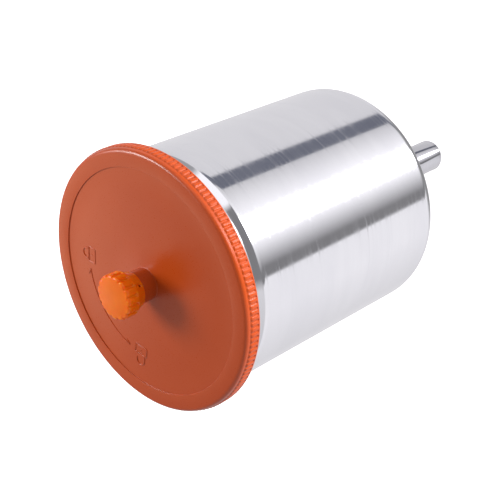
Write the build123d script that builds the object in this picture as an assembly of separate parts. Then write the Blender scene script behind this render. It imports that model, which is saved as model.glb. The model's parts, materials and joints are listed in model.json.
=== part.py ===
from build123d import *
import os
from math import atan2, cos, pi, radians, sin, tan

# Gravity-feed paint cup for a spray gun: an aluminium cup with a funnel bottom and a threaded
# outlet, a quick-thread screw lid and a small screw-down vent cap on the lid's axis.
# Frame: origin at the centre of the outlet's end face, +Z up along the cup's axis, millimetres.
# Every turned piece is an outline of (radius, height, corner radius) spun about Z.

# ---- driving dimensions: cup ----
body_diameter = 90.9        # outside of the cylinder
wall = 1.2                  # drawn aluminium
cylinder_length = 92.5      # straight side of the cup
knuckle_radius = 7.9        # outside bend between cylinder and funnel
funnel_slope = 42           # degrees above the horizontal
seat_radius = 12.0          # flat at the foot of the funnel, outside
outlet_reach = 32.2         # from that flat down to the outlet's end face
neck_diameter = 87.5        # outside of the neck below the lid
neck_height = 11.5          # top of the cylinder to the rim
shoulder_height = 2.6       # cone between cylinder and neck
shoulder_bend = 3.0         # outside bend where the cylinder meets that cone
neck_bend = 1.5             # outside bend where the cone meets the neck

# ---- driving dimensions: lid thread (quick thread, right-hand) ----
lid_starts = 3
lid_lead = 9.0              # rise per turn
lid_thread_depth = 1.85     # ridge height on the neck
ridge_below = 30            # degrees of ridge below each lug's middle
ridge_above = 14            # degrees of ridge above each lug's middle
ridge_drop = 1.35           # rim down to the ridge centreline at the lug
lug_arc = 16                # degrees, each lug
lug_drop = 1.1              # ridge centreline down to the lug centreline
lug_clearance = 0.55        # lug tip to neck
thread_root_width = 1.3
thread_crest_width = 0.8

# ---- driving dimensions: lid ----
lid_diameter = 100.0        # over the grip ribs
skirt_depth = 6.2           # ring face down to the skirt's lower edge
lid_thickness = 1.8         # recessed disc
ring_step = 0.6             # ring face above the recessed disc
ring_inner_radius = 42.9
lid_edge_radius = 1.5       # rounded top edge
rib_count = 150
rib_height = 0.5
rib_foot_share = 0.82       # of the pitch
rib_crest_share = 0.60      # of the pitch
rib_overlap = 0.6           # the rib band is rooted this far into the skirt
rib_top_drop = 2.1          # ribs start this far below the ring face
rib_bottom_band = 0.9       # plain band left at the skirt's lower edge
skirt_wall = 2.2            # under the ribs
ring_thickness = 1.6        # top wall above the gasket
plug_wall = 1.1             # locating ring inside the neck
plug_reach = 3.0            # below the gasket seat
plug_clearance = 0.95       # locating ring to neck bore
gasket_thickness = 1.0
gasket_clearance = 0.15     # to the locating ring
gasket_margin = 1.1         # to the skirt
seal_gap = 0.03             # free space left where a seal only touches

# ---- driving dimensions: vent ----
boss_radius = 6.1
boss_height = 6.3           # above the recessed disc
boss_fillet = 2.0
spigot_radius = 4.5
spigot_height = 12.0        # above the recessed disc
vent_bore = 3.2             # diameter of the air hole
vent_lead = 4.0             # two-start thread, rise per turn
vent_starts = 2
vent_thread_depth = 0.75
vent_thread_turns = 0.6
vent_root_width = 0.9
vent_crest_width = 0.5
vent_radial_gap = 0.35      # spigot crest to cap root, and cap crest to spigot root
cap_top_height = 15.6       # cap's top face above the recessed disc
cap_top_wall = 1.9
cap_head_radius = 8.4
cap_head_height = 5.2
cap_skirt_top_radius = 7.5
cap_lip_radius = 6.7
cap_lip_gap = 0.15          # boss to the cap's lower lip
flute_count = 15
flute_radius = 1.3
flute_depth = 0.50          # cut into the head
flute_height = 4.4
vent_hole = 1.0             # diameter of the side hole
vent_hole_drop = 7.5        # side hole below the cap's top face
vent_hole_angle = -43       # about Z, from +X
vent_seal_thickness = 1.3
vent_seal_clearance = 0.3   # seal edge to the cap's bore
drip_plug_length = 6.0
drip_plug_head_radius = 4.0
drip_plug_head = 1.2
drip_hole = 0.8             # diameter of the air hole in the plug

# ---- driving dimensions: outlet fitting and strainer ----
washer_thickness = 1.0
washer_margin = 0.6         # washer edge inside the nut's flats
stem_diameter = 14.0        # stem through the cup's bottom
stem_clearance = 0.1        # radial, stem to hole
fitting_flats = 19.0        # across flats, under the cup
fitting_flange = 7.0
collar_diameter = 13.7
collar_length = 15.0        # plain outlet collar, below the flare
collar_edge = 0.9
flare_margin = 0.4          # flare's top edge inside the flats
outlet_bore_radius = 4.283  # minor radius of the outlet thread
outlet_thread_length = 12.0
feed_bore_radius = 4.0
nut_flats = 17.5
nut_height = 4.0
stem_proud = 0.5            # stem above the nut
strainer_fit = 0.1          # radial, strainer spout in the feed bore
strainer_wall = 0.8
strainer_spout = 9.0
strainer_flange_radius = 7.2
strainer_flange = 1.5
strainer_cage_radius = 5.6
strainer_cage_height = 30.0
strainer_posts = 4
strainer_post_width = 1.6
strainer_post_depth = 1.2
strainer_ring_height = 2.0
mesh_wall = 0.35

# ---- heights and radii that follow from them ----
body_radius = body_diameter / 2
neck_radius = neck_diameter / 2
lean = 90 - funnel_slope                      # angle turned by the knuckle, from vertical
seat_z = outlet_reach
funnel_edge_radius = body_radius - knuckle_radius * (1 - cos(radians(lean)))
funnel_top_z = seat_z + (funnel_edge_radius - seat_radius) * tan(radians(funnel_slope))
cylinder_z = funnel_top_z + knuckle_radius * sin(radians(lean))
shoulder_z = cylinder_z + cylinder_length
rim_z = shoulder_z + neck_height
gasket_seat_z = rim_z + seal_gap + gasket_thickness
ring_z = gasket_seat_z + ring_thickness
disc_z = ring_z - ring_step
disc_under_z = disc_z - lid_thickness
skirt_z = ring_z - skirt_depth
lid_radius = lid_diameter / 2
rib_root_radius = lid_radius - rib_height
skirt_bore_radius = rib_root_radius - skirt_wall
plug_radius = neck_radius - wall - plug_clearance
plug_z = gasket_seat_z - plug_reach
ridge_centre_z = rim_z - ridge_drop
lug_centre_z = ridge_centre_z - lug_drop

cap_top_z = disc_z + cap_top_height
cap_head_z = cap_top_z - cap_head_height
cap_ceiling_z = cap_top_z - cap_top_wall
cap_lip_z = disc_z + boss_height + cap_lip_gap
cap_bore_radius = spigot_radius + vent_thread_depth + vent_radial_gap
spigot_top_z = disc_z + spigot_height
vent_seal_z = cap_ceiling_z - vent_seal_thickness

hole_radius = stem_diameter / 2 + stem_clearance
inner_floor_z = seat_z + wall
flange_top_z = seat_z - washer_thickness
nut_z = inner_floor_z + washer_thickness
stem_top_z = nut_z + nut_height + stem_proud
nut_washer_radius = nut_flats / 2 - washer_margin


def turned(*corners):
    """Spin an outline of (radius, height, corner radius) about Z."""
    points = [(r, z) for r, z, _ in corners]
    outline = FilletPolyline(*points, radius=[c[2] for c in corners], close=True)
    return revolve(Plane.XZ * make_face(outline), Axis.Z)


def ring(inner, outer, low, high):
    return turned((inner, low, 0), (outer, low, 0), (outer, high, 0), (inner, high, 0))


def hexagon(flats, low, high):
    outline = RegularPolygon(flats / 2, 6, major_radius=False)
    return extrude(Pos(0, 0, low) * outline, high - low)


def thread_ridge(root, depth, widths, lead, start, arc, centre_z):
    """One helical ridge: root radius, depth (negative points inward), root and crest widths.

    It spans arc degrees from the angle start, and its centreline starts at centre_z.
    """
    sink = -0.3 if depth > 0 else 0.3         # the ridge is rooted this far into its wall
    root_half, crest_half = widths[0] / 2, widths[1] / 2
    path = Helix(pitch=lead, height=lead * arc / 360, radius=root)
    section_plane = Plane(origin=path @ 0, x_dir=(1, 0, 0), z_dir=path % 0)
    outline = Polyline(
        (sink, -root_half), (depth, -crest_half), (depth, crest_half), (sink, root_half),
        close=True,
    )
    ridge = sweep(section_plane * make_face(outline), path=path, is_frenet=True)
    return Pos(0, 0, centre_z) * Rot(0, 0, start) * ridge


def cup_shell():
    slide = tan(radians(lean / 2))            # corner of the funnel bend, per unit of radius
    inside_foot_radius = seat_radius - wall * tan(radians(funnel_slope / 2))
    shoulder_lean = atan2(body_radius - neck_radius, shoulder_height)
    inside_drop = wall * tan(shoulder_lean / 2)
    neck_z = shoulder_z + shoulder_height
    shell = turned(
        (hole_radius, seat_z, 0),
        (seat_radius, seat_z, 0),
        (body_radius, cylinder_z - knuckle_radius * slide, knuckle_radius),
        (body_radius, shoulder_z, shoulder_bend),
        (neck_radius, neck_z, neck_bend),
        (neck_radius, rim_z, wall * 0.4),
        (neck_radius - wall, rim_z, wall * 0.4),
        (neck_radius - wall, neck_z - inside_drop, neck_bend + wall),
        (body_radius - wall, shoulder_z - inside_drop, shoulder_bend - wall),
        (body_radius - wall, cylinder_z - (knuckle_radius - wall) * slide,
         knuckle_radius - wall),
        (inside_foot_radius, inner_floor_z, 0),
        (hole_radius, inner_floor_z, 0),
    )
    for start in range(lid_starts):
        angle = start * 360 / lid_starts - ridge_below
        low = ridge_centre_z - lid_lead * ridge_below / 360
        shell += thread_ridge(neck_radius, lid_thread_depth,
                              (thread_root_width, thread_crest_width), lid_lead, angle,
                              ridge_below + ridge_above, low)
    return shell


def lid():
    cover = turned(
        (0, disc_under_z, 0),
        (plug_radius - plug_wall, disc_under_z, 0),
        (plug_radius - plug_wall, plug_z, 0.3),
        (plug_radius, plug_z, 0.3),
        (plug_radius, gasket_seat_z, 0),
        (skirt_bore_radius, gasket_seat_z, 0),
        (skirt_bore_radius, skirt_z, 0.3),
        (lid_radius, skirt_z, 0.4),
        (lid_radius, skirt_z + rib_bottom_band, 0.2),
        (rib_root_radius, skirt_z + rib_bottom_band, 0),
        (rib_root_radius, ring_z, lid_edge_radius),
        (ring_inner_radius, ring_z, 0.3),
        (ring_inner_radius, disc_z, 0),
        (boss_radius, disc_z, boss_fillet),
        (boss_radius, disc_z + boss_height, 0.3),
        (spigot_radius, disc_z + boss_height, 0),
        (spigot_radius, spigot_top_z, 0.3),
        (0, spigot_top_z, 0),
    )
    cover += grip_ribs()
    for start in range(lid_starts):
        angle = start * 360 / lid_starts - lug_arc / 2
        low = lug_centre_z - lid_lead * lug_arc / 720
        depth = neck_radius + lug_clearance - skirt_bore_radius
        cover += thread_ridge(skirt_bore_radius, depth,
                              (thread_root_width, thread_crest_width), lid_lead, angle,
                              lug_arc, low)
    for start in range(vent_starts):
        cover += thread_ridge(spigot_radius, vent_thread_depth,
                              (vent_root_width, vent_crest_width), vent_lead,
                              start * 360 / vent_starts, 360 * vent_thread_turns,
                              disc_z + boss_height + vent_root_width)
    bore = Cylinder(vent_bore / 2, spigot_top_z - disc_under_z)
    return cover - Pos(0, 0, (spigot_top_z + disc_under_z) / 2) * bore


def grip_ribs():
    """All ribs in one band: a toothed outline with chamfered teeth, bored to the skirt."""
    pitch = 2 * pi / rib_count
    foot, crest = rib_foot_share / 2, rib_crest_share / 2
    outline = []
    for index in range(rib_count):
        middle = index * pitch
        for share, radius in ((-foot, rib_root_radius), (-crest, lid_radius),
                              (crest, lid_radius), (foot, rib_root_radius)):
            angle = middle + share * pitch
            outline.append((radius * cos(angle), radius * sin(angle)))
    low = skirt_z + rib_bottom_band / 2
    band = extrude(Pos(0, 0, low) * make_face(Polyline(*outline, close=True)),
                   ring_z - rib_top_drop - low)
    return band - Pos(0, 0, ring_z) * Cylinder(rib_root_radius - rib_overlap, 4 * skirt_depth)


def lid_gasket():
    return ring(plug_radius + gasket_clearance, skirt_bore_radius - gasket_margin,
                rim_z + seal_gap, gasket_seat_z)


def drip_plug():
    """Push-in plug under the lid: it stops thrown paint and lets air past."""
    stem = vent_bore / 2
    plug = turned(
        (drip_hole / 2, disc_under_z - drip_plug_head, 0),
        (drip_plug_head_radius, disc_under_z - drip_plug_head, 0.4),
        (drip_plug_head_radius, disc_under_z, 0),
        (stem, disc_under_z, 0),
        (stem, disc_under_z + drip_plug_length, 0),
        (drip_hole / 2, disc_under_z + drip_plug_length, 0),
    )
    return plug


def vent_cap():
    bore = cap_bore_radius
    cap = turned(
        (bore, cap_lip_z, 0),
        (cap_lip_radius, cap_lip_z, 0.3),
        (cap_skirt_top_radius, cap_head_z, 0),
        (cap_head_radius, cap_head_z, 0.3),
        (cap_head_radius, cap_top_z, 0.9),
        (0, cap_top_z, 0),
        (0, cap_ceiling_z, 0),
        (bore, cap_ceiling_z, 0),
    )
    flute_z = cap_top_z - flute_height / 2
    flute = Pos(cap_head_radius + flute_radius - flute_depth, 0, flute_z) * Cylinder(
        flute_radius, flute_height)
    cap -= [Rot(0, 0, index * 360 / flute_count) * flute for index in range(flute_count)]
    for start in range(vent_starts):
        low = disc_z + boss_height + vent_root_width + vent_lead / vent_starts / 2
        cap += thread_ridge(bore, spigot_radius + vent_radial_gap - bore,
                            (vent_root_width, vent_crest_width), vent_lead,
                            start * 360 / vent_starts, 360 * vent_thread_turns / 2, low)
    side_hole = Rot(0, 90, 0) * Cylinder(vent_hole / 2, cap_head_radius)
    side_hole = Pos(cap_head_radius * 1.1, 0, cap_top_z - vent_hole_drop) * side_hole
    return cap - Rot(0, 0, vent_hole_angle) * side_hole


def vent_seal():
    return ring(0.0, cap_bore_radius - vent_seal_clearance, vent_seal_z, cap_ceiling_z)


def outlet_fitting():
    """Turned outlet: stem through the cup, hexagon flange, flare and plain collar."""
    flange_z = flange_top_z - fitting_flange
    stem = turned(
        (feed_bore_radius, flange_z, 0),
        (stem_diameter / 2, flange_z, 0),
        (stem_diameter / 2, stem_top_z, 0.4),
        (feed_bore_radius, stem_top_z, 0),
    )
    collar_radius = collar_diameter / 2
    flare_top_radius = fitting_flats / 2 - flare_margin
    with BuildPart() as skirt:
        with BuildSketch(Plane.XZ):
            with BuildLine():
                Line((outlet_bore_radius, 0), (collar_radius - collar_edge, 0))
                RadiusArc((collar_radius - collar_edge, 0), (collar_radius, collar_edge),
                          -collar_edge)
                Line((collar_radius, collar_edge), (collar_radius, collar_length))
                flare = TangentArc((collar_radius, collar_length), (flare_top_radius, flange_z),
                                   tangent=(0, 1))
                Line(flare @ 1, (feed_bore_radius, flange_z))
                Polyline((feed_bore_radius, flange_z), (feed_bore_radius, outlet_thread_length),
                         (outlet_bore_radius, outlet_thread_length), (outlet_bore_radius, 0))
            make_face()
        revolve(axis=Axis.Z)
    flange = hexagon(fitting_flats, flange_z, flange_top_z)
    flange -= Pos(0, 0, (flange_z + flange_top_z) / 2) * Cylinder(
        feed_bore_radius, fitting_flange + 1)
    return stem + skirt.part + flange


def outer_washer():
    return ring(hole_radius, fitting_flats / 2 - washer_margin, flange_top_z, seat_z)


def inner_washer():
    return ring(hole_radius, nut_washer_radius, inner_floor_z, nut_z)


def locknut():
    bore = Pos(0, 0, nut_z + nut_height / 2) * Cylinder(stem_diameter / 2, nut_height + 1)
    return hexagon(nut_flats, nut_z, nut_z + nut_height) - bore


def strainer_cage():
    """Push-in strainer frame: spout, flange, posts and top ring."""
    spout_radius = feed_bore_radius - strainer_fit
    bore = spout_radius - strainer_wall
    flange_z = stem_top_z
    top_z = flange_z + strainer_flange + strainer_cage_height
    cage = turned(
        (bore, flange_z - strainer_spout, 0),
        (spout_radius, flange_z - strainer_spout, 0.3),
        (spout_radius, flange_z, 0),
        (strainer_flange_radius, flange_z, 0.3),
        (strainer_flange_radius, flange_z + strainer_flange, 0.3),
        (bore, flange_z + strainer_flange, 0),
    )
    cage += turned(
        (0, top_z - strainer_ring_height, 0),
        (strainer_flange_radius, top_z - strainer_ring_height, 0.3),
        (strainer_flange_radius, top_z, 0.6),
        (0, top_z, 0),
    )
    post_height = strainer_cage_height - strainer_ring_height
    post = Pos(strainer_cage_radius - strainer_post_depth / 2, 0,
               flange_z + strainer_flange + post_height / 2)
    post *= Box(strainer_post_depth, strainer_post_width, post_height)
    for index in range(strainer_posts):
        cage += Rot(0, 0, index * 360 / strainer_posts) * post
    return cage


def strainer_mesh():
    low = stem_top_z + strainer_flange
    high = low + strainer_cage_height - strainer_ring_height
    inner = strainer_cage_radius + 0.2
    return ring(inner, inner + mesh_wall, low, high)


nodes = {
    "cup_shell": cup_shell,
    "outlet_fitting": outlet_fitting,
    "outer_washer": outer_washer,
    "inner_washer": inner_washer,
    "locknut": locknut,
    "strainer_cage": strainer_cage,
    "strainer_mesh": strainer_mesh,
    "lid_gasket": lid_gasket,
    "lid": lid,
    "drip_plug": drip_plug,
    "vent_seal": vent_seal,
    "vent_cap": vent_cap,
}

os.makedirs("parts", exist_ok=True)
for name, make in nodes.items():
    export_step(make(), f"parts/{name}.step")
print(f"ring face {ring_z:.2f} mm, cap top {cap_top_z:.2f} mm, cylinder foot {cylinder_z:.2f} mm")
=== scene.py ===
"""Looks of a gravity-feed paint cup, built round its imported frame.

The frame and Blender use metres; sizes here are in millimetres and turn into metres by MM.
+Z is up and the outlet ends at z = 0.
"""
import json
from math import asin, atan2, cos, pi, radians, sin, sqrt, tan

import bpy
from mathutils import Matrix, Vector

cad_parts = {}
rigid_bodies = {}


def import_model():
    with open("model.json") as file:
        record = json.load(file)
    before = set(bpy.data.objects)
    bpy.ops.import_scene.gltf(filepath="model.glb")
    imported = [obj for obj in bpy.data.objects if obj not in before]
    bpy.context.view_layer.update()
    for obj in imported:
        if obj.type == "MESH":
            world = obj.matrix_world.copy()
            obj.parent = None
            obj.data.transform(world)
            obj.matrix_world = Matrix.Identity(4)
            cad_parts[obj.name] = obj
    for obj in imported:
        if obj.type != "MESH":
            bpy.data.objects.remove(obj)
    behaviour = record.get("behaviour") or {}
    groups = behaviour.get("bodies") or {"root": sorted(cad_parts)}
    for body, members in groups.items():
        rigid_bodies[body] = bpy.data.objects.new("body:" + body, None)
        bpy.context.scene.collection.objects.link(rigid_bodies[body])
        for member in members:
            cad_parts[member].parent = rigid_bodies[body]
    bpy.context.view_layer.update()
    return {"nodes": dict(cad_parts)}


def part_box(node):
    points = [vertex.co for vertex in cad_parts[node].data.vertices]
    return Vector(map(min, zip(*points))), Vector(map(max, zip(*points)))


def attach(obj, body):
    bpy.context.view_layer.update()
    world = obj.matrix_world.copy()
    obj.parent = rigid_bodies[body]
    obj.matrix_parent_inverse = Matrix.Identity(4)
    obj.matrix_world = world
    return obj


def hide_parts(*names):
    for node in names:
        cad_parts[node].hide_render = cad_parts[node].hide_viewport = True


MM = 0.001

for leftover in list(bpy.data.objects):
    bpy.data.objects.remove(leftover)

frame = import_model()
nodes = frame["nodes"]


def z_span(node):
    low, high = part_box(node)
    return low.z / MM, high.z / MM


# ======================= sizes, in millimetres =======================
LID_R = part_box("lid")[1].x / MM
SKIRT_Z, _ = z_span("lid")
RING_Z = SKIRT_Z + 6.2
DISC_Z = RING_Z - 0.6
SEAT_Z, RIM_Z = z_span("cup_shell")
CAP_LIP_Z, CAP_TOP_Z = z_span("vent_cap")
_, FITTING_TOP_Z = z_span("outlet_fitting")
_, CAP_CEILING_Z = z_span("vent_seal")
BODY_R = 45.45
NECK_R = 43.75
WALL = 1.2

# The lid's quick thread and the vent cap's thread: starts, lead, and widths at foot and crest.
LID_STARTS, LID_LEAD, LID_RIDGE = 3, 9.0, (1.3, 0.8)
VENT_STARTS, VENT_LEAD, VENT_RIDGE = 2, 4.0, (0.9, 0.5)


# ======================= mesh helpers =======================
def rounded(corners, steps=7):
    """Points of a closed outline of (radius, height, corner radius), its corners as arcs."""
    points = []
    count = len(corners)
    for index, (r, z, bend) in enumerate(corners):
        here = Vector((r, z))
        if bend <= 0:
            points.append((r, z))
            continue
        before = (Vector(corners[index - 1][:2]) - here).normalized()
        after = (Vector(corners[(index + 1) % count][:2]) - here).normalized()
        half = before.angle(after) / 2
        centre = here + (before + after).normalized() * (bend / sin(half))
        start = here + before * (bend / tan(half)) - centre
        end = here + after * (bend / tan(half)) - centre
        turn = start.angle_signed(end)
        for step in range(steps + 1):
            arm = start.copy()
            arm.rotate(Matrix.Rotation(-turn * step / steps, 2))
            points.append(tuple(centre + arm))
    return points


def mesh_object(name, vertices, faces, sharp=32):
    mesh = bpy.data.meshes.new(name)
    mesh.from_pydata([Vector(v) * MM for v in vertices], [], faces)
    mesh.validate()
    mesh.polygons.foreach_set("use_smooth", [True] * len(mesh.polygons))
    mesh.set_sharp_from_angle(angle=radians(sharp))
    piece = bpy.data.objects.new(name, mesh)
    bpy.context.collection.objects.link(piece)
    return piece


def lathe_data(outline, segments=288, radius_at=None):
    """Rings of a closed outline about Z. radius_at(point index, angle, radius) may shape them."""
    vertices, faces = [], []
    rings = []
    for index, (r, z) in enumerate(outline):
        if r < 1e-6:
            rings.append([len(vertices)])
            vertices.append((0, 0, z))
            continue
        rings.append(list(range(len(vertices), len(vertices) + segments)))
        for step in range(segments):
            angle = 2 * pi * step / segments
            reach = radius_at(index, angle, r) if radius_at else r
            vertices.append((reach * cos(angle), reach * sin(angle), z))
    for index, ring in enumerate(rings):
        after = rings[(index + 1) % len(rings)]
        if len(ring) == 1 and len(after) == 1:
            continue
        for step in range(segments):
            forward = (step + 1) % segments
            if len(ring) == 1:
                faces.append((ring[0], after[forward], after[step]))
            elif len(after) == 1:
                faces.append((ring[step], ring[forward], after[0]))
            else:
                faces.append((ring[step], ring[forward], after[forward], after[step]))
    return vertices, faces


def ridge_data(root, depth, widths, lead, start, arc, centre_z, steps_per_turn=200):
    """A helical ridge with tapered ends: a closed band of trapezoid sections.

    depth is how far it stands out of the root radius, or into the bore if negative; widths are
    those of its foot and crest; start and arc are in degrees.
    """
    steps = max(8, round(steps_per_turn * arc / 360))
    sink = -0.3 if depth > 0 else 0.3
    end_height, taper_arc = 0.15, 5
    shoulder, bevel = 0.04, 0.08
    vertices, faces = [], []
    for step in range(steps + 1):
        share = step / steps
        angle = radians(start + arc * share)
        z = centre_z + lead * arc * share / 360
        reach = depth * min(1.0, min(share, 1 - share) * arc / taper_arc + end_height)
        foot, crest = widths[0] / 2, widths[1] / 2
        section = ((sink, -foot), (reach * 0.9, -crest - shoulder), (reach, -crest + bevel),
                   (reach, crest - bevel), (reach * 0.9, crest + shoulder), (sink, foot))
        for out, up in section:
            vertices.append(((root + out) * cos(angle), (root + out) * sin(angle), z + up))
    size = len(section)
    for step in range(steps):
        for corner in range(size):
            a = step * size + corner
            b = step * size + (corner + 1) % size
            quad = (a, a + size, b + size, b)
            faces.append(quad if depth > 0 else quad[::-1])
    first, last = tuple(range(size)), tuple(range(steps * size, steps * size + size))
    faces.append(first if depth > 0 else first[::-1])
    faces.append(last[::-1] if depth > 0 else last)
    return vertices, faces


def joined(parts):
    vertices, faces = [], []
    for part_vertices, part_faces in parts:
        base = len(vertices)
        vertices += part_vertices
        faces += [tuple(base + i for i in face) for face in part_faces]
    return vertices, faces


def bead_data(path, width, height, base_z):
    """A low rounded line moulded on a flat face, along points (x, y), slimmer at its two ends."""
    arc_steps = 6
    end_width, end_height = 0.45, 0.3
    vertices, faces = [], []
    count = len(path)
    for index, point in enumerate(path):
        here = Vector(point)
        ahead = Vector(path[min(index + 1, count - 1)]) - Vector(path[max(index - 1, 0)])
        side = Vector((-ahead.y, ahead.x)).normalized()
        end = index in (0, count - 1)
        for step in range(arc_steps + 1):
            turn = pi * step / arc_steps
            across = cos(turn) * width / 2 * (end_width if end else 1)
            up = sin(turn) * height * (end_height if end else 1)
            spot = here + side * across
            vertices.append((spot.x, spot.y, base_z + up))
    size = arc_steps + 1
    for index in range(count - 1):
        for step in range(size):
            a = index * size + step
            b = index * size + (step + 1) % size
            faces.append((a, a + size, b + size, b))
    faces.append(tuple(range(size)))
    faces.append(tuple(range((count - 1) * size, count * size))[::-1])
    return vertices, faces


# ======================= materials =======================
def add_node(tree, kind, inputs=None, **settings):
    """A new shader node with its settings, then its inputs as plain values or as links."""
    made = tree.nodes.new(kind)
    for key, value in settings.items():
        setattr(made, key, value)
    for key, value in (inputs or {}).items():
        if isinstance(value, bpy.types.NodeSocket):
            tree.links.new(value, made.inputs[key])
        else:
            made.inputs[key].default_value = value
    return made


class Material:
    """A Principled material whose nodes are added by short calls."""

    def __init__(self, name, **sockets):
        self.data = bpy.data.materials.new(name)
        self.data.use_nodes = True
        self.tree = self.data.node_tree
        self.shader = self.tree.nodes["Principled BSDF"]
        for socket, value in sockets.items():
            self.shader.inputs[socket.replace("_", " ")].default_value = value
        self.normal = None

    def node(self, kind, inputs=None, **settings):
        return add_node(self.tree, kind, inputs, **settings)

    def feed(self, output, socket):
        self.tree.links.new(output, self.shader.inputs[socket])

    def maths(self, operation, *values):
        made = self.node("ShaderNodeMath", dict(enumerate(values)), operation=operation)
        return made.outputs["Value"]

    def noise(self, scale, detail=4.0, rough=0.55):
        """Noise over the object's own coordinates, stretched by scale along X, Y and Z."""
        place = self.node("ShaderNodeTexCoord")
        mapping = self.node("ShaderNodeMapping", {
            "Vector": place.outputs["Object"], "Scale": scale})
        noise = self.node("ShaderNodeTexNoise", {
            "Vector": mapping.outputs["Vector"], "Scale": 1.0, "Detail": detail,
            "Roughness": rough})
        return noise.outputs["Fac"]

    def colours(self, value, first, second, low=0.3, high=0.7):
        ramp = self.node("ShaderNodeValToRGB", {"Fac": value})
        for element, position, colour in zip(ramp.color_ramp.elements, (low, high),
                                             (first, second)):
            element.position = position
            element.color = (*colour, 1)
        self.feed(ramp.outputs["Color"], "Base Color")

    def rough(self, value, low, high, from_low=0.3, from_high=0.7):
        spread = self.node("ShaderNodeMapRange", {
            "Value": value, "From Min": from_low, "From Max": from_high,
            "To Min": low, "To Max": high})
        self.feed(spread.outputs["Result"], "Roughness")

    def bump(self, value, distance, strength):
        """Adds to the bumps there already."""
        inputs = {"Height": value, "Distance": distance, "Strength": strength}
        if self.normal:
            inputs["Normal"] = self.normal
        self.normal = self.node("ShaderNodeBump", inputs).outputs["Normal"]
        self.feed(self.normal, "Normal")

    def turned(self):
        """Lathe and brush marks run round the axis, so reflections smear along it."""
        tangent = self.node("ShaderNodeTangent", direction_type="RADIAL", axis="Z")
        self.feed(tangent.outputs["Tangent"], "Tangent")


def brushed_aluminium():
    """Fine streaks raised all over, and rougher scratches here and there."""
    made = Material("brushed_aluminium", Metallic=1.0, Anisotropic=0.7,
                    Anisotropic_Rotation=0.25)
    made.turned()
    streaks = made.noise((45, 45, 2300), detail=5, rough=0.65)
    scratches = made.noise((16, 16, 1700), detail=3, rough=0.6)
    broad = made.noise((18, 18, 60), detail=3)
    made.rough(scratches, 0.07, 0.25, 0.45, 0.74)
    made.colours(broad, (0.79, 0.79, 0.82), (0.83, 0.83, 0.855), 0.35, 0.65)
    made.bump(streaks, 0.000010, 0.35)
    return made.data


def polished_plating():
    made = Material("polished_plating", Metallic=1.0, Anisotropic=0.5,
                    Anisotropic_Rotation=0.25)
    made.turned()
    marks = made.noise((30, 30, 3500))
    made.rough(marks, 0.06, 0.13)
    made.colours(marks, (0.57, 0.57, 0.60), (0.65, 0.65, 0.68))
    made.bump(marks, 0.000006, 0.3)
    return made.data


def lid_plastic():
    made = Material("lid_plastic", Specular_IOR_Level=0.45)
    patches = made.noise((26, 26, 26), detail=3)
    grain = made.noise((2600, 2600, 2600), detail=2)
    made.colours(patches, (0.375, 0.045, 0.002), (0.41, 0.053, 0.004))
    made.rough(grain, 0.27, 0.36)
    made.bump(grain, 0.000008, 0.3)
    made.bump(patches, 0.00006, 0.2)
    return made.data


def cap_plastic():
    made = Material("cap_plastic", Specular_IOR_Level=0.24, Subsurface_Weight=0.5,
                    Subsurface_Scale=0.004, Subsurface_Radius=(1.0, 0.15, 0.02))
    patches = made.noise((160, 160, 160), detail=3)
    made.colours(patches, (0.69, 0.122, 0.001), (0.74, 0.14, 0.002))
    made.rough(patches, 0.21, 0.29)
    made.bump(patches, 0.00003, 0.3)
    return made.data


def plain_polymer(name, colour, roughness):
    made = Material(name)
    mottle = made.noise((300, 300, 300))
    made.colours(mottle, tuple(c * 0.88 for c in colour), colour)
    made.rough(mottle, roughness * 0.85, roughness * 1.15)
    made.bump(mottle, 0.00003, 0.4)
    return made.data


def gauze(name, colour):
    """Woven strainer gauze: a fine grid of wires raised over gaps that are painted dark as shade.
    """
    per_radian, per_metre = 90.0, 15000.0
    made = Material(name, Roughness=0.45)
    place = made.node("ShaderNodeTexCoord")
    split = made.node("ShaderNodeSeparateXYZ", {"Vector": place.outputs["Object"]})
    angle = made.maths("ARCTAN2", split.outputs["Y"], split.outputs["X"])
    upright = made.maths("SINE", made.maths("MULTIPLY", angle, per_radian))
    level = made.maths("SINE", made.maths("MULTIPLY", split.outputs["Z"], per_metre))
    weave = made.maths("MAXIMUM", upright, level)
    # The gaps between the wires are painted shade: they get 15% of the wire colour.
    made.colours(weave, tuple(c * 0.15 for c in colour), colour, 0.2, 0.6)
    made.bump(weave, 0.0001, 0.8)
    return made.data


def floor_surface():
    made = Material("floor_paper", Roughness=0.8, Emission_Color=(1, 1, 1, 1),
                    Emission_Strength=0.75)
    fibre = made.noise((40, 40, 40), detail=5)
    made.colours(fibre, (0.85, 0.85, 0.85), (0.88, 0.88, 0.88))
    return made.data


def finish_piece(piece, material, body, slot, *replaced):
    """Its material, the body it rides on, a material slot name that is not used, and the CAD nodes
    it replaces.
    """
    piece.data.materials.clear()
    piece.data.materials.append(material)
    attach(piece, body)
    if replaced:
        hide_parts(*replaced)


# ======================= cup =======================
FUNNEL_SLOPE = radians(42)
KNUCKLE = 7.9
SEAT_R = 12.0
LEAN = pi / 2 - FUNNEL_SLOPE
FUNNEL_EDGE_R = BODY_R - KNUCKLE * (1 - cos(LEAN))
CYLINDER_Z = SEAT_Z + (FUNNEL_EDGE_R - SEAT_R) * tan(FUNNEL_SLOPE) + KNUCKLE * sin(LEAN)
SHOULDER_Z = RIM_Z - 11.5
SHOULDER_H = 2.6
HOLE_R = 7.1


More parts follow.
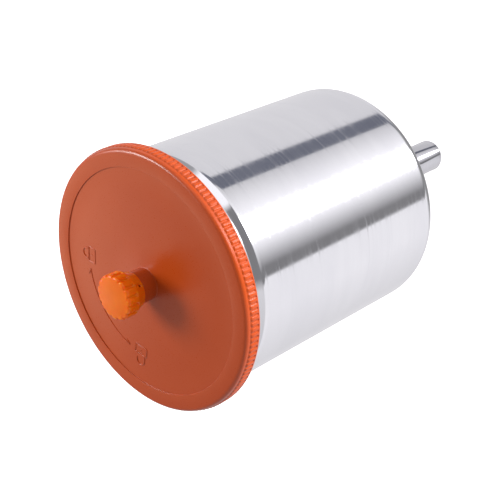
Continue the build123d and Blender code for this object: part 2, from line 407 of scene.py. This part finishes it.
def cup_outline():
    neck_z = SHOULDER_Z + SHOULDER_H
    drop = WALL * tan(atan2(BODY_R - NECK_R, SHOULDER_H) / 2)
    slide = tan(LEAN / 2)
    inner_knuckle = KNUCKLE - WALL
    seat_bend, shoulder_bend, neck_bend, rim_bend = 1.0, 3.0, 1.5, 0.5
    corners = [
        (HOLE_R, SEAT_Z, 0),
        (SEAT_R, SEAT_Z, seat_bend),
        (BODY_R, CYLINDER_Z - KNUCKLE * slide, KNUCKLE),
        (BODY_R, SHOULDER_Z, shoulder_bend),
        (NECK_R, neck_z, neck_bend),
        (NECK_R, RIM_Z, rim_bend),
        (NECK_R - WALL, RIM_Z, rim_bend),
        (NECK_R - WALL, neck_z - drop, neck_bend + WALL),
        (BODY_R - WALL, SHOULDER_Z - drop, shoulder_bend - WALL),
        (BODY_R - WALL, CYLINDER_Z - inner_knuckle * slide, inner_knuckle),
        (SEAT_R - WALL * tan(FUNNEL_SLOPE / 2), SEAT_Z + WALL, 0),
        (HOLE_R, SEAT_Z + WALL, 0),
    ]
    return rounded(corners, steps=14)


def make_cup(material):
    ridge_height, rim_gap = 1.85, 1.35
    below, above = 30, 14
    parts = [lathe_data(cup_outline(), segments=384)]
    for start in range(LID_STARTS):
        parts.append(ridge_data(NECK_R, ridge_height, LID_RIDGE, LID_LEAD,
                                start * 360 / LID_STARTS - below, below + above,
                                RIM_Z - rim_gap - LID_LEAD * below / 360))
    piece = mesh_object("cup_body", *joined(parts))
    finish_piece(piece, material, "cup", "cup_aluminium", "cup_shell")


# ======================= outlet =======================
def make_outlet(material):
    """Bored collar with an internal pipe thread, a flare, a hexagon and the stem into the cup."""
    collar, collar_bend, bore, bore_top, feed = 6.85, 0.9, 4.86, 12.0, 4.0
    stem, stem_bevel = 7.0, 0.4
    flats = 19.0
    hex_top = SEAT_Z - 1.0
    hex_low = hex_top - 7.0
    flare_start, flare_top = 15.0, flats / 2 - 0.4
    run, rise = flare_top - collar, hex_low - flare_start
    flare_bend = (run * run + rise * rise) / (2 * run)
    sweep = asin(rise / flare_bend)
    flare_steps = 12
    flare = [(collar + flare_bend * (1 - cos(sweep * s / flare_steps)),
              flare_start + flare_bend * sin(sweep * s / flare_steps))
             for s in range(flare_steps + 1)]
    # The last point of the lip's arc is left out, so the collar narrows slightly towards it.
    lip = rounded([(bore + 0.4, 0.0, 0), (collar, 0.0, collar_bend), (collar, flare_start, 0)],
                  8)[:-2]
    inside = [(stem, hex_low), (stem, FITTING_TOP_Z - stem_bevel),
              (stem - stem_bevel, FITTING_TOP_Z), (feed + 0.3, FITTING_TOP_Z),
              (feed, FITTING_TOP_Z - 0.3), (feed, bore_top), (bore, bore_top), (bore, 0.7)]
    shaft = lathe_data(lip + flare + inside, segments=192)
    thread_crest, thread_pitch, thread_turns = 4.283, 0.907, 11.6
    thread = ridge_data(bore, thread_crest - bore, (0.8, 0.14), thread_pitch, 0,
                        360 * thread_turns, 0.9)
    piece = mesh_object("outlet", *joined([shaft, hex_data(flats, hex_low, hex_top, stem), thread]))
    finish_piece(piece, material, "cup", "plated_fitting", "outlet_fitting")


def hex_data(flats, low, high, bore, segments=180):
    """A hexagon with turned chamfers at both ends, bored to the stem."""
    chamfer = 0.5
    chamfer_r = flats / 2 - 0.1
    corner_r = flats / sqrt(3) - 0.05
    sixth = pi / 3
    levels = [(low, chamfer_r), (low + chamfer, corner_r), (high - chamfer, corner_r),
              (high, chamfer_r), (high, None), (low, None)]
    vertices, faces = [], []
    for z, limit in levels:
        for step in range(segments):
            angle = 2 * pi * step / segments
            r = min(flats / 2 / cos(angle % sixth - sixth / 2), limit) if limit else bore
            vertices.append((r * cos(angle), r * sin(angle), z))
    for ring in range(len(levels)):
        after = (ring + 1) % len(levels) * segments
        for step in range(segments):
            forward = (step + 1) % segments
            faces.append((ring * segments + step, ring * segments + forward,
                          after + forward, after + step))
    return vertices, faces


# ======================= lid =======================
RIBS = 150
RIB_SAMPLES = 12
RIB_H = 0.5
RIB_ROOT = LID_R - RIB_H
GROOVE_SHARE = 0.65
FRONT_RAMP = 0.75
RING_R = 42.9
SPIGOT_R, SPIGOT_TOP = 4.5, DISC_Z + 12.0
BOSS_R, BOSS_TOP = 6.1, DISC_Z + 6.3
VENT_BORE = 1.6


def smooth_step(low, high, value):
    share = min(1.0, max(0.0, (value - low) / (high - low)))
    return share * share * (3 - 2 * share)


def make_lid(material):
    skirt_bore = RIB_ROOT - 2.2
    seat = RING_Z - 1.6
    under = DISC_Z - 1.8
    plug_r = NECK_R - WALL - 0.95
    plug_foot, plug_wall = seat - 3.0, 1.1
    dome = ((36, 0.12), (27, 0.24), (18, 0.31))
    dome_top = DISC_Z + 0.35
    rib_top, rib_foot = RING_Z - 1.8, SKIRT_Z + 0.8
    rib_zs = [rib_foot + step for step in (-0.1, 0.0, 0.1, 0.2)]
    rib_zs += [(rib_top + rib_foot) / 2]
    rib_zs += [rib_top - step for step in (FRONT_RAMP, 0.5, 0.3, 0.15, 0.0)]
    lower = rounded([(skirt_bore, SKIRT_Z, 0.3), (LID_R, SKIRT_Z, 0.45), (LID_R, RING_Z, 0),
                     (skirt_bore, RING_Z, 0)])[:-2]
    side = [(LID_R, z) for z in rib_zs]
    upper = rounded(
        [(RIB_ROOT, SKIRT_Z, 0), (RIB_ROOT, RING_Z, 1.5), (RING_R, RING_Z - 0.22, 0.12),
         (RING_R, DISC_Z, 0.12)]
        + [(r, DISC_Z + rise, 0) for r, rise in dome]
        + [(BOSS_R, dome_top, 0.2), (BOSS_R, BOSS_TOP, 0.3), (SPIGOT_R, BOSS_TOP, 0.2),
           (SPIGOT_R, SPIGOT_TOP, 0.3), (VENT_BORE, SPIGOT_TOP, 0.2), (VENT_BORE, under, 0),
           (plug_r - plug_wall, under, 0.2), (plug_r - plug_wall, plug_foot, 0.3),
           (plug_r, plug_foot, 0.3), (plug_r, seat, 0), (skirt_bore, seat, 0)])[1:]
    outline = lower + side + upper
    first, last = len(lower), len(lower) + len(side)

    def ribbed(index, angle, radius):
        if not first <= index < last:
            return radius
        z = outline[index][1]
        off_groove = abs((angle / (2 * pi) * RIBS) % 1.0 - 0.5) * 2
        valley = 1 - smooth_step(0.0, 0.7, off_groove)
        front = smooth_step(rib_top - FRONT_RAMP, rib_top, z)
        back = smooth_step(rib_foot - 0.1, rib_foot + 0.2, z)
        crest = radius - RIB_H * front
        return crest - (crest - RIB_ROOT) * GROOVE_SHARE * valley * back

    parts = [lathe_data(outline, RIBS * RIB_SAMPLES, ribbed)]
    lug_arc, lug_drop, lug_r = 16, 2.45, NECK_R + 0.55
    for start in range(LID_STARTS):
        parts.append(ridge_data(skirt_bore, lug_r - skirt_bore, LID_RIDGE, LID_LEAD,
                                start * 360 / LID_STARTS - lug_arc / 2, lug_arc,
                                RIM_Z - lug_drop - LID_LEAD * lug_arc / 720))
    for start in range(VENT_STARTS):
        parts.append(ridge_data(SPIGOT_R, 0.75, VENT_RIDGE, VENT_LEAD,
                                start * 360 / VENT_STARTS, 216, BOSS_TOP + 0.9))
    piece = mesh_object("lid_cover", *joined(parts))
    finish_piece(piece, material, "lid", "lid_plastic", "lid")


def arc_path(radius, start, end, steps):
    return [(radius * cos(radians(start + (end - start) * s / steps)),
             radius * sin(radians(start + (end - start) * s / steps))) for s in range(steps + 1)]


def turned_path(points, radius, angle):
    """Places a small drawing on the disc: its x runs round the axis, its y outwards."""
    middle = radians(angle)
    out = Vector((cos(middle), sin(middle)))
    along = Vector((-sin(middle), cos(middle)))
    return [tuple(out * (radius + y) + along * x) for x, y in points]


def padlock(opened):
    """Lines of a padlock: its body, shackle and keyhole, in millimetres."""
    half, foot, top = 3.0, -3.4, 0.2
    body = [(-half, foot), (half, foot), (half, top), (-half, top), (-half, foot)]
    bow, bow_z = 2.0, 2.9 if opened else 1.3
    steps = 10
    shackle = [(bow, top), (bow, bow_z)]
    shackle += [(bow * cos(pi * s / steps), bow_z + bow * sin(pi * s / steps))
                for s in range(1, steps)]
    shackle += [(-bow, bow_z), (-bow, 1.9 if opened else top)]
    keyhole = [(0.0, -1.0), (0.0, -2.1)]
    return [densely(path) for path in (body, shackle, keyhole)]


def densely(path, gap=0.4):
    """The same path with points about gap apart, so that its bead bends cleanly."""
    points = [path[0]]
    for before, after in zip(path, path[1:]):
        span = Vector(after) - Vector(before)
        pieces = max(1, int(span.length / gap))
        points += [tuple(Vector(before) + span * s / pieces) for s in range(1, pieces + 1)]
    return points


# The turning arrow's radius, its ends in degrees, and the beads it and the padlocks are made of.
MARK_R, MARK_FROM, MARK_TO = 31.0, 110.0, 172.5
MARK_W, MARK_H, MARK_Z = 0.55, 0.38, DISC_Z + 0.05
PADLOCK_GAP = 11


def make_marks(material):
    """Turning arrow with a half barb at each end, and closed and open padlocks beside it."""
    paths = [arc_path(MARK_R, MARK_FROM, MARK_TO, 90)]
    for end, way in ((MARK_FROM, 1), (MARK_TO, -1)):
        paths.append(densely(turned_path([(0, 0), (way * 2.6, way * 1.5)], MARK_R, end)))
    for angle, opened in ((MARK_FROM - PADLOCK_GAP, False), (MARK_TO + PADLOCK_GAP, True)):
        paths += [turned_path(path, MARK_R, angle) for path in padlock(opened)]
    parts = [bead_data(path, MARK_W, MARK_H, MARK_Z) for path in paths]
    piece = mesh_object("lid_marks", *joined(parts), sharp=80)
    finish_piece(piece, material, "lid", "lid_plastic")


# ======================= vent cap =======================
FLUTES = 15
FLUTE_SAMPLES = 24
FLUTE_DEPTH = 0.5
HEAD_R, HEAD_Z = 8.4, CAP_TOP_Z - 5.2
HOLE_ANGLE = radians(-43)
HOLE_Z = CAP_TOP_Z - 7.5


def make_cap(material):
    skirt_r, lip_r, bore = 7.5, 6.7, 5.6
    outer = rounded([(bore, CAP_LIP_Z, 0.15), (lip_r, CAP_LIP_Z, 0.3), (skirt_r, HEAD_Z, 0.4),
                     (HEAD_R, HEAD_Z, 0.35), (HEAD_R, CAP_TOP_Z, 0.9), (0, CAP_TOP_Z, 0),
                     (0, CAP_CEILING_Z, 0), (bore, CAP_CEILING_Z, 0)], 8)
    outline = []
    for index, (r, z) in enumerate(outer):
        outline.append((r, z))
        next_r, next_z = outer[(index + 1) % len(outer)]
        if abs(r - HEAD_R) < 0.01 and abs(next_r - HEAD_R) < 0.01 and next_z - z > 2:
            # The head's upright side gets more rings, so that the flutes can run out smoothly.
            outline += [(HEAD_R, HEAD_Z + level) for level in (0.7, 0.95, 1.2, 1.8, 2.6)]

    def fluted(index, angle, radius):
        z = outline[index][1]
        if radius < 6.9 or z < HEAD_Z + 0.3:
            return radius
        off_groove = abs((angle / (2 * pi) * FLUTES) % 1.0 - 0.5) * 2
        groove = 1 - smooth_step(0.05, 0.5, off_groove)
        return radius - FLUTE_DEPTH * groove * smooth_step(HEAD_Z + 0.2, HEAD_Z + 1.2, z)

    parts = [lathe_data(outline, FLUTES * FLUTE_SAMPLES, fluted)]
    for start in range(VENT_STARTS):
        parts.append(ridge_data(bore, SPIGOT_R + 0.35 - bore, VENT_RIDGE, VENT_LEAD,
                                start * 360 / VENT_STARTS, 108, BOSS_TOP + 1.9))
    piece = mesh_object("cap_knob", *joined(parts))
    cut_side_hole(piece)
    finish_piece(piece, material, "cap", "cap_plastic", "vent_cap")


def cut_side_hole(piece):
    """Bores the round vent hole through the cap's skirt."""
    steps, radius, near, far = 40, 0.5, 4.9, 9.5
    vertices = [(x, radius * cos(2 * pi * s / steps), radius * sin(2 * pi * s / steps))
                for x in (near, far) for s in range(steps)]
    faces = [(s, (s + 1) % steps, steps + (s + 1) % steps, steps + s) for s in range(steps)]
    faces += [tuple(range(steps))[::-1], tuple(range(steps, 2 * steps))]
    drill = mesh_object("drill", vertices, faces)
    drill.matrix_world = (Matrix.Translation((0, 0, HOLE_Z * MM))
                          @ Matrix.Rotation(HOLE_ANGLE, 4, "Z"))
    cut = piece.modifiers.new("side_hole", "BOOLEAN")
    cut.object = drill
    cut.operation = "DIFFERENCE"
    cut.solver = "EXACT"
    bpy.context.view_layer.update()
    solid = bpy.data.meshes.new_from_object(piece.evaluated_get(
        bpy.context.evaluated_depsgraph_get()))
    piece.modifiers.clear()
    piece.data = solid
    bpy.data.objects.remove(drill)


# ======================= hidden CAD pieces =======================
def dress(names, material):
    """Gives CAD nodes that are shown as they are a detailed material."""
    for name in names:
        nodes[name].data.materials.clear()
        nodes[name].data.materials.append(material)


# ======================= studio =======================
# Grey levels of the studio's walls, by compass angle from +X towards +Y: LOW_WALL below the
# horizon, which the upright side mirrors, and HIGH_WALL above it.
LOW_WALL = [
    (-180, 0.8), (-120, 1.0), (-85, 1.0),                       # pale wall
    (-84, 0.25), (-75, 0.25),                                   # dark flag
    (-50, 1.2), (-42, 7.0), (-31, 7.0), (-25, 1.2),             # lamp window in a pale glow
    (6, 0.7), (7, 0.2), (22, 0.2), (23, 0.8), (179.9, 0.8),     # pale wall with a dark strip
]
HIGH_WALL = [
    (-180, 0.6), (-90, 0.8),                                    # pale wall
    (-80, 0.25), (-17, 0.25),                                   # dark flag
    (-11, 1.2), (22, 1.2),                                      # soft window
    (30, 0.4), (150, 0.4), (179.9, 0.6),                        # dim wall
]
CEILING = 0.4
TABLE = 0.3
BAND_PEAK = 7.0
BAND_TINT = (0.985, 0.97, 1.0)
# Bands darker than SHADE_BELOW are bluer.
SHADE_BELOW = 0.25
SHADE_TINT = (0.88, 0.92, 1.14)


def make_world():
    """Grey bands for lighting and reflections, behind a plain white backdrop for the camera."""
    world = bpy.data.worlds.new("studio")
    bpy.context.scene.world = world
    world.use_nodes = True
    tree = world.node_tree
    tree.nodes.clear()
    place = add_node(tree, "ShaderNodeTexCoord")
    way = add_node(tree, "ShaderNodeSeparateXYZ", {"Vector": place.outputs["Generated"]})
    angle = add_node(tree, "ShaderNodeMath", {0: way.outputs["Y"], 1: way.outputs["X"]},
                     operation="ARCTAN2")
    compass = add_node(tree, "ShaderNodeMapRange", {
        "Value": angle.outputs["Value"], "From Min": -pi, "From Max": pi})

    def bands(levels):
        ramp = add_node(tree, "ShaderNodeValToRGB", {"Fac": compass.outputs["Result"]})
        elements = ramp.color_ramp.elements
        for index, (degrees, level) in enumerate(levels):
            position = (degrees + 180) / 360
            element = elements[index] if index < 2 else elements.new(position)
            element.position = position
            tint = SHADE_TINT if level < SHADE_BELOW else BAND_TINT
            element.color = (*(level / BAND_PEAK * t for t in tint), 1)
        return ramp.outputs["Color"]

    def grey(level):
        return (level / BAND_PEAK,) * 3 + (1,)

    def blend(first, second, low, high):
        """first where the direction's height is under low, second where it is over high."""
        height = add_node(tree, "ShaderNodeMapRange", {
            "Value": way.outputs["Z"], "From Min": low, "From Max": high},
            interpolation_type="SMOOTHSTEP")
        mix = add_node(tree, "ShaderNodeMix", {
            "Factor": height.outputs["Result"], "A": first, "B": second}, data_type="RGBA")
        return mix.outputs["Result"]

    walls = blend(bands(LOW_WALL), bands(HIGH_WALL), -0.05, 0.1)
    walls = blend(walls, grey(TABLE), -0.88, -0.97)
    lighting = add_node(tree, "ShaderNodeBackground", {
        "Color": blend(walls, grey(CEILING), 0.62, 0.88), "Strength": BAND_PEAK})
    backdrop = add_node(tree, "ShaderNodeBackground", {"Color": (1, 1, 1, 1), "Strength": 1.05})
    path = add_node(tree, "ShaderNodeLightPath")
    mix = add_node(tree, "ShaderNodeMixShader", {
        0: path.outputs["Is Camera Ray"], 1: lighting.outputs["Background"],
        2: backdrop.outputs["Background"]})
    add_node(tree, "ShaderNodeOutputWorld", {"Surface": mix.outputs["Shader"]})


def softbox(name, azimuth, elevation, distance, size, power, tint=(1, 1, 1)):
    """A lamp of size (width, height) that faces the middle of the lid's ring from distance."""
    aim = Vector((0, 0, RING_Z * MM))
    light = bpy.data.lights.new(name, "AREA")
    light.shape = "RECTANGLE"
    light.size, light.size_y = size
    light.energy = power
    light.color = tint
    lamp = bpy.data.objects.new(name, light)
    bpy.context.collection.objects.link(lamp)
    way = Vector((cos(radians(azimuth)) * cos(radians(elevation)),
                  sin(radians(azimuth)) * cos(radians(elevation)), sin(radians(elevation))))
    lamp.location = aim + way * distance
    lamp.rotation_euler = way.to_track_quat("Z", "Y").to_euler()
    return lamp


def make_floor():
    """White paper just under the object; only the camera sees it."""
    half, drop = 3000.0, -1.0
    steps = 24
    vertices = [(-half + 2 * half * i / steps, -half + 2 * half * j / steps, drop)
                for j in range(steps + 1) for i in range(steps + 1)]
    row = steps + 1
    faces = [(j * row + i, j * row + i + 1, (j + 1) * row + i + 1, (j + 1) * row + i)
             for j in range(steps) for i in range(steps)]
    floor = mesh_object("floor", vertices, faces)
    floor.data.materials.append(floor_surface())
    for ray in ("glossy", "diffuse", "transmission", "shadow"):
        setattr(floor, "visible_" + ray, False)


def make_camera():
    """The lid's centre lies at lid_in_view, in lid radii right, up and ahead of the camera."""
    azimuth, dip, roll = radians(46.96), radians(41.04), radians(114.9)
    lid_in_view = Vector((-0.7440, -0.2394, 8.384))
    ahead = Vector((-sin(azimuth) * cos(dip), cos(azimuth) * cos(dip), -sin(dip)))
    level = Vector((cos(azimuth), sin(azimuth), 0))
    upright = level.cross(ahead)
    right = level * cos(roll) - upright * sin(roll)
    up = level * sin(roll) + upright * cos(roll)
    data = bpy.data.cameras.new("camera")
    data.sensor_width = 36
    data.lens = 85.1
    camera = bpy.data.objects.new("camera", data)
    bpy.context.collection.objects.link(camera)
    centre = Vector((0, 0, RING_Z * MM))
    offset = right * lid_in_view.x + up * lid_in_view.y + ahead * lid_in_view.z
    turn = Matrix((right, up, -ahead)).transposed().to_4x4()
    camera.matrix_world = Matrix.Translation(centre - offset * LID_R * MM) @ turn
    bpy.context.scene.camera = camera


# ======================= build =======================
aluminium = brushed_aluminium()
plating = polished_plating()
lid_orange = lid_plastic()
cap_orange = cap_plastic()
make_cup(aluminium)
make_outlet(plating)
make_lid(lid_orange)
make_marks(lid_orange)
make_cap(cap_orange)
dress(["locknut"], plating)
dress(["outer_washer", "inner_washer"], plain_polymer("washer_polymer", (0.70, 0.68, 0.62), 0.5))
dress(["strainer_cage", "drip_plug"], plain_polymer("natural_nylon", (0.62, 0.64, 0.60), 0.42))
dress(["strainer_mesh"], gauze("strainer_gauze", (0.45, 0.50, 0.52)))
dress(["lid_gasket", "vent_seal"], plain_polymer("black_rubber", (0.025, 0.025, 0.027), 0.6))

make_world()
make_floor()
softbox("key", 79, 43, 0.45, (0.19, 0.19), 1.9)
softbox("haze", 127, 29, 0.6, (0.22, 0.12), 0.17, (1.0, 0.85, 0.62))
softbox("side", -44, -30, 0.9, (0.34, 0.4), 13.0).visible_glossy = False
make_camera()
bpy.context.scene.view_settings.view_transform = "Standard"
